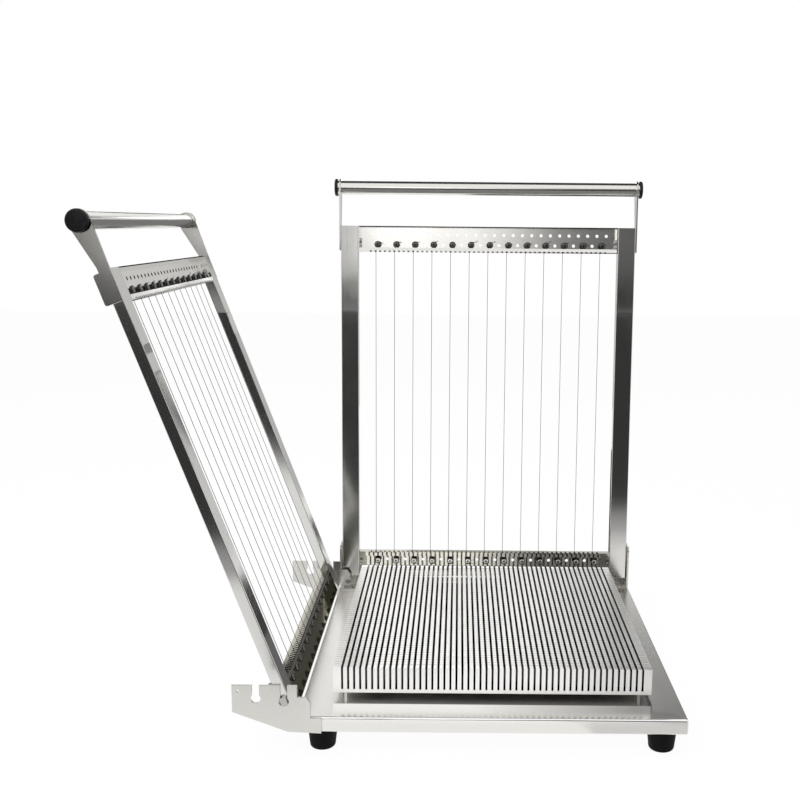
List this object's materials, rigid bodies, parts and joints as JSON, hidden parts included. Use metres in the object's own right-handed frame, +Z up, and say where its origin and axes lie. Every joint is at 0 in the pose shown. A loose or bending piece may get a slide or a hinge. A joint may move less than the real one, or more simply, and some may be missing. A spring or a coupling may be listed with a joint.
{
  "type": "guitar cutter",
  "caption": "Table-top wire cutter for confectionery: slotted square bed on a footed base, with wire frames hinged at the left and back that swing down through the slots.",
  "frame": {"origin": "middle of the outline of the machine with both frames open, on the surface it stands on", "axes": "+X to the right, away from the left frame; +Y to the back, towards the back frame; +Z up"},
  "size_m": [0.733, 0.5421, 0.7089],
  "materials": {
    "polished_stainless": "polished",
    "satin_stainless": "satin",
    "bright_fastener": "bright",
    "bed_aluminium": "satin",
    "black_rubber": "matte",
    "black_plastic": "gloss"
  },
  "bodies": {
    "base": {"base_pan": "satin_stainless", "rubber_feet": "black_rubber", "foot_screws": "bright_fastener", "foot_nuts": "bright_fastener", "cutting_bed": "bed_aluminium", "bed_legs": "satin_stainless", "bed_leg_nuts": "bright_fastener", "left_front_bracket": "satin_stainless", "left_rear_bracket": "satin_stainless", "back_left_ear": "satin_stainless", "back_right_ear": "satin_stainless", "stop_studs": "satin_stainless", "bracket_screws": "bright_fastener", "bracket_nuts": "bright_fastener"},
    "left_frame": {"left_near_arm": "polished_stainless", "left_far_arm": "polished_stainless", "left_pivot_blocks": "satin_stainless", "left_pivot_pins": "bright_fastener", "left_arm_plugs": "polished_stainless", "left_top_bar": "satin_stainless", "left_bottom_bar": "satin_stainless", "left_wires": "bright_fastener", "left_tension_screws": "bright_fastener", "left_tension_nuts": "bright_fastener", "left_anchor_screws": "bright_fastener", "left_anchor_nuts": "bright_fastener", "left_bar_screws": "bright_fastener", "left_near_handle_plate": "satin_stainless", "left_far_handle_plate": "satin_stainless", "left_handle_tube": "polished_stainless", "left_handle_caps": "black_plastic"},
    "back_frame": {"back_near_arm": "polished_stainless", "back_far_arm": "polished_stainless", "back_pivot_blocks": "satin_stainless", "back_pivot_pins": "bright_fastener", "back_arm_plugs": "polished_stainless", "back_top_bar": "satin_stainless", "back_bottom_bar": "satin_stainless", "back_wires": "bright_fastener", "back_tension_screws": "bright_fastener", "back_tension_nuts": "bright_fastener", "back_anchor_screws": "bright_fastener", "back_anchor_nuts": "bright_fastener", "back_bar_screws": "bright_fastener", "back_near_handle_plate": "satin_stainless", "back_far_handle_plate": "satin_stainless", "back_handle_tube": "polished_stainless", "back_handle_caps": "black_plastic"}
  },
  "joints": [
    {"name": "left_frame_hinge", "type": "hinge", "parent": "base", "child": "left_frame", "pos_m": [-0.13302, -0.02556, 0.0675], "axis": [0, 1, 0], "range_deg": [0, 110.5]},
    {"name": "back_frame_hinge", "type": "hinge", "parent": "base", "child": "back_frame", "pos_m": [0.12104, 0.22851, 0.0825], "axis": [1, 0, 0], "range_deg": [0, 92.2]}
  ]
}
